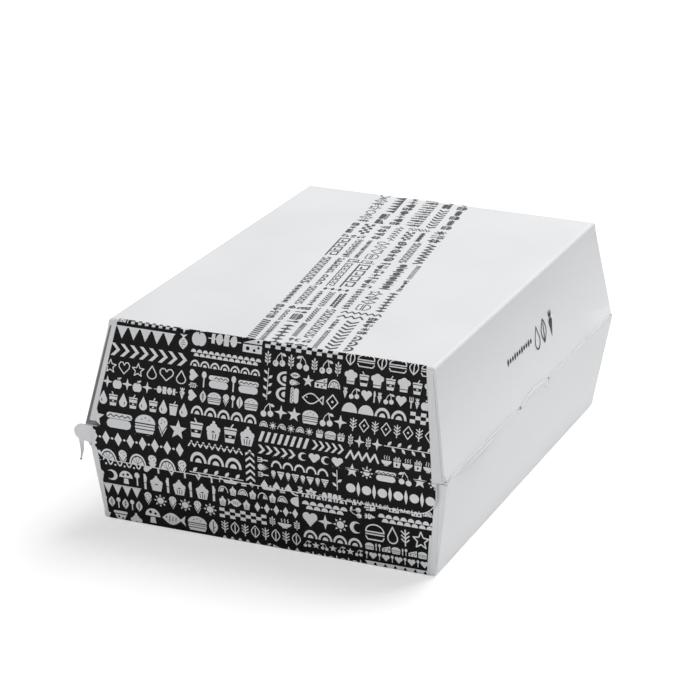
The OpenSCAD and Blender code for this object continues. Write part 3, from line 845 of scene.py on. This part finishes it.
# The faint end of the tongue's cut in the tray's right side, a thin grey line of painted shade
tray_side_slope = (WAIST_W - BASE_W) / 2 / WAIST_Z
tray_side = Sheet([(WAIST_W / 2, 0, WAIST_Z),
                   (BASE_W / 2 + tray_side_slope * SIDE_SPARE, 0, SIDE_SPARE)], BACK, RIGHT)
score = on(BARE, path([(8.0, -0.5), (10.6, -1.3), (12.8, -2.6), (14.4, -4.4)], 0.22, False))
score_window = [(0, -8), (20, -8), (20, -0.2), (0, -0.2)]
lay_print_or_shade(tray_side, score_window, score, "tongue_score_shade", "tray", SCORE_SHADE, field=False)

# The seam
# The card closing the seam between the lid's sides and the raised sides of the tray, down to the
# flat rim at the corners. The slit in front of the tongue is part open, with card behind it.
# Card laid here is clear of the lid by BESIDE, or reaches in under its rim by UNDER. It lies a
# SKIN behind the tray's surfaces, and overlaps the tray's wall by LAP
BESIDE, UNDER, SKIN, LAP = 0.03, 0.35, 0.01, 0.02
SLIT_OPEN, CORNER_INSET, ARC_STEPS = 5.6, 0.75, 16
seam = Print()
tongue_front, tongue_back = TONGUE_Y - TONGUE_L / 2, TONGUE_Y + TONGUE_L / 2
tongue_r = (TONGUE_L ** 2 / 4 + TONGUE_H ** 2) / (2 * TONGUE_H)
low_z, seam_z, slit_z = TRAY_RIM_Z - SKIN, TRAY_RIM_Z + RIM_LAP - SKIN, TRAY_RIM_Z - SLIT_H
lid_low = LID_RIM_Z - LAP
ramp_low = WAIST_D / 2 - LAP_INSET - RIM_LAP
ramp_top = ramp_low - RIM_LAP
slit_front = tongue_front - SLIT_L
slit_end = slit_front + SLIT_OPEN


# Half widths, at height z, at which the pieces of the seam begin and end. Three are the same at
# every height
def tray_face(z, inset=SKIN):
    return WAIST_W / 2 - tray_side_slope * (WAIST_Z - z) - inset


def lid_face(z):
    return LID_RIM_W / 2 - side_slope * (z - WAIST_Z) + BESIDE


def lid_rim(z):
    return LID_RIM_W / 2 + BESIDE


def under_lid(z):
    return LID_RIM_W / 2 - UNDER


def wall_inside(z):
    return WAIST_W / 2 - CARD + LAP


def level(y0, z0, y1, z1, within, out=wall_inside):
    """Adds a strip between two points of the seam on both sides, from one half width to another."""
    for side in (-1, 1):
        seam.add([Vector((side * within(z0), y0, z0)), Vector((side * out(z0), y0, z0)),
                  Vector((side * out(z1), y1, z1)), Vector((side * within(z1), y1, z1))],
                 Vector(UP))


def upright(y0, y1, z0, z1, inset):
    """Adds an upright strip on both sides, set in from the tray's outside."""
    for side in (-1, 1):
        seam.add([Vector((side * tray_face(z, inset), y, z))
                  for y, z in ((y0, z0), (y1, z0), (y1, z1), (y0, z1))], Vector((side, 0, 0)))


def cap(y, z0, z1, within):
    """Adds a cap that faces the front on both sides, out to the tray's face."""
    for side in (-1, 1):
        seam.add([Vector((side * half_w(z), y, z)) for half_w, z in
                  ((within, z0), (tray_face, z0), (tray_face, z1), (within, z1))], Vector(FRONT))


arc = []
for i in range(ARC_STEPS + 1):
    y = tongue_front + TONGUE_L * i / ARC_STEPS
    rise = TONGUE_H - tongue_r + math.sqrt(tongue_r ** 2 - (y - TONGUE_Y) ** 2)
    arc.append((y, max(seam_z, TRAY_RIM_Z - LAP + rise)))
for line in ([(-ramp_top, seam_z), (slit_front, seam_z)], arc,
             [(tongue_back + V_NOTCH_W, seam_z), (ramp_top, seam_z)]):
    for (y0, z0), (y1, z1) in zip(line, line[1:]):
        level(y0, z0, y1, z1, lid_face)
level(slit_end, seam_z, tongue_front, seam_z, lid_face, tray_face)
upright(slit_end, tongue_front, slit_z, seam_z, SKIN)
upright(slit_front, slit_end, slit_z, low_z, CARD - SKIN)
level(slit_front, low_z, slit_end, low_z, under_lid)
cap(slit_end, low_z, lid_low, under_lid)
cap(slit_end, lid_low, seam_z, lid_face)
for end in (-1, 1):
    level(end * ramp_top, seam_z, end * ramp_low, low_z, lid_rim)
    level(end * ramp_low, low_z, end * (WAIST_D / 2 - CORNER_INSET), low_z, under_lid)
seam.build("waist_seam", WHITE, "white_card", "tray")

# The card behind the slit up the lid's right front corner, which leans in a little
SIDE_LEAN, FRONT_LEAN = 0.1, 0.35
behind = Print()
corner_top = LID_RIM_Z + CORNER_SLIT_H - SKIN
front_x, front_y = LID_RIM_W / 2 - CORNER_SLIT_W + SKIN, -WAIST_D / 2 + CARD
back_x, back_y = lid_face(corner_top) - SIDE_LEAN, -WAIST_D / 2 + SLIT_BACK - SKIN
behind.add([Vector(p) for p in ((front_x, front_y, WAIST_Z), (back_x, back_y, WAIST_Z),
                                (back_x, back_y, corner_top),
                                (front_x, front_y + FRONT_LEAN, corner_top))], Vector((1, -1, 0)))
behind.build("corner_slit_card", WHITE, "white_card", "lid")


# Creases
# Rows of a crease's band, how far it runs over the edge of both parts, and how thick it is
ROWS, OVER, FOLD_T, PRINT_T = 5, 0.02, 0.4, 0.2


def crease(name, half_w, y, inner_y, material):
    """The card's own fold across a crease, a closed band between the two parts."""
    gap = CREASE / 2 + OVER
    outer = [(y, WAIST_Z + gap - 2 * gap * i / (ROWS - 1)) for i in range(ROWS)]
    ring = outer + [(inner_y, z) for _, z in outer[::-1]]
    verts = [(s * half_w * MM, a * MM, b * MM) for s in (-1, 1) for a, b in ring]
    n = len(ring)
    faces = [(i, (i + 1) % n, n + (i + 1) % n, n + i) for i in range(n)]
    faces += [tuple(range(n))[::-1], tuple(range(n, 2 * n))]
    obj = add_object(name, verts, faces, material)
    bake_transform(obj)


HINGE, RIDGE = WAIST_D / 2, -WAIST_D / 2
crease("back_crease", 63.9, HINGE - OVER, HINGE - FOLD_T, WHITE)
crease("front_crease_print", 61.6, RIDGE, RIDGE + PRINT_T, BLACK)
crease("front_crease", FLAP_W / 2, RIDGE + OVER, RIDGE + FOLD_T, WHITE)


# Floor, lights and camera
FLOOR_HALF_W, FLOOR_Z, FLOOR_GLOW = 6.0, -0.00005, 0.56
WORLD_LIGHT, WORLD_TINT, BACKDROP = 0.22, (0.97, 0.98, 1.0, 1), 1.05
AIM = (0, 0, 0.04)
# The view solved on the box's corners: angles in degrees, place in metres, lens in mm
AZIMUTH, ELEVATION, ROLL = 21.55, 19.86, 1.06
CAMERA_AT, LENS, SENSOR, CLIP = (0.34423, -0.88596, 0.38621), 141.27, 36.0, (0.05, 50.0)


def floor():
    """A plain white floor, which the camera sees lighter, so that it runs into the background."""
    m = Nodes("floor_white")
    m.tree.nodes.remove(m.shader)
    diffuse = m.add("ShaderNodeBsdfDiffuse", {"Color": (0.88, 0.88, 0.88, 1)})
    pale = m.add("ShaderNodeBsdfDiffuse", {"Color": (0.6, 0.6, 0.6, 1)})
    glow = m.add("ShaderNodeEmission", {"Color": (1, 1, 1, 1), "Strength": FLOOR_GLOW})
    both = m.add("ShaderNodeAddShader", {0: pale.outputs[0], 1: glow.outputs[0]})
    seen = m.add("ShaderNodeLightPath").outputs["Is Camera Ray"]
    mixed = m.add("ShaderNodeMixShader", {0: seen, 1: diffuse.outputs[0], 2: both.outputs[0]})
    m.give(m.tree.nodes["Material Output"].inputs["Surface"], mixed.outputs[0])
    corners = [(x * FLOOR_HALF_W, y * FLOOR_HALF_W, FLOOR_Z)
               for x, y in ((-1, -1), (1, -1), (1, 1), (-1, 1))]
    obj = add_object("floor", corners, [(0, 1, 2, 3)], m.mat)


def world():
    """A pale sky for light, and a white one behind the box for the camera."""
    w = bpy.data.worlds.new("studio")
    bpy.context.scene.world = w
    w.use_nodes = True
    tree = w.node_tree
    tree.nodes.clear()
    out = tree.nodes.new("ShaderNodeOutputWorld")
    soft = tree.nodes.new("ShaderNodeBackground")
    soft.inputs["Color"].default_value = WORLD_TINT
    soft.inputs["Strength"].default_value = WORLD_LIGHT
    white = tree.nodes.new("ShaderNodeBackground")
    white.inputs["Strength"].default_value = BACKDROP
    mix = tree.nodes.new("ShaderNodeMixShader")
    seen = tree.nodes.new("ShaderNodeLightPath")
    tree.links.new(seen.outputs["Is Camera Ray"], mix.inputs[0])
    tree.links.new(soft.outputs[0], mix.inputs[1])
    tree.links.new(white.outputs[0], mix.inputs[2])
    tree.links.new(mix.outputs[0], out.inputs["Surface"])


def area_light(name, place, size, power):
    data = bpy.data.lights.new(name, "AREA")
    data.shape, data.size, data.energy = "SQUARE", size, power
    obj = bpy.data.objects.new(name, data)
    bpy.context.scene.collection.objects.link(obj)
    obj.location = place
    obj.rotation_mode = "QUATERNION"
    obj.rotation_quaternion = (Vector(AIM) - Vector(place)).to_track_quat("-Z", "Y")


def camera():
    az, el, roll = (math.radians(a) for a in (AZIMUTH, ELEVATION, ROLL))
    back = Vector((math.sin(az) * math.cos(el), -math.cos(az) * math.cos(el), math.sin(el)))
    flat = Vector((math.cos(az), math.sin(az), 0))
    up = back.cross(flat)
    right = flat * math.cos(roll) + up * math.sin(roll)
    up = up * math.cos(roll) - flat * math.sin(roll)
    data = bpy.data.cameras.new("camera")
    data.sensor_width, data.lens = SENSOR, LENS
    data.clip_start, data.clip_end = CLIP
    obj = bpy.data.objects.new("camera", data)
    bpy.context.scene.collection.objects.link(obj)
    obj.matrix_world = Matrix([(right[i], up[i], back[i], CAMERA_AT[i]) for i in range(3)]
                              + [(0, 0, 0, 1)])
    bpy.context.scene.camera = obj


floor()
world()
area_light("overhead", (0.48, 1.0, 2.0), 1.5, 50.5)
area_light("right_front", (1.15, -1.64, 0.16), 0.28, 2.2)
area_light("front_fill", (-0.3, -2.0, 0.3), 0.5, 5.2)
camera()
bpy.context.scene.view_settings.view_transform = "Standard"
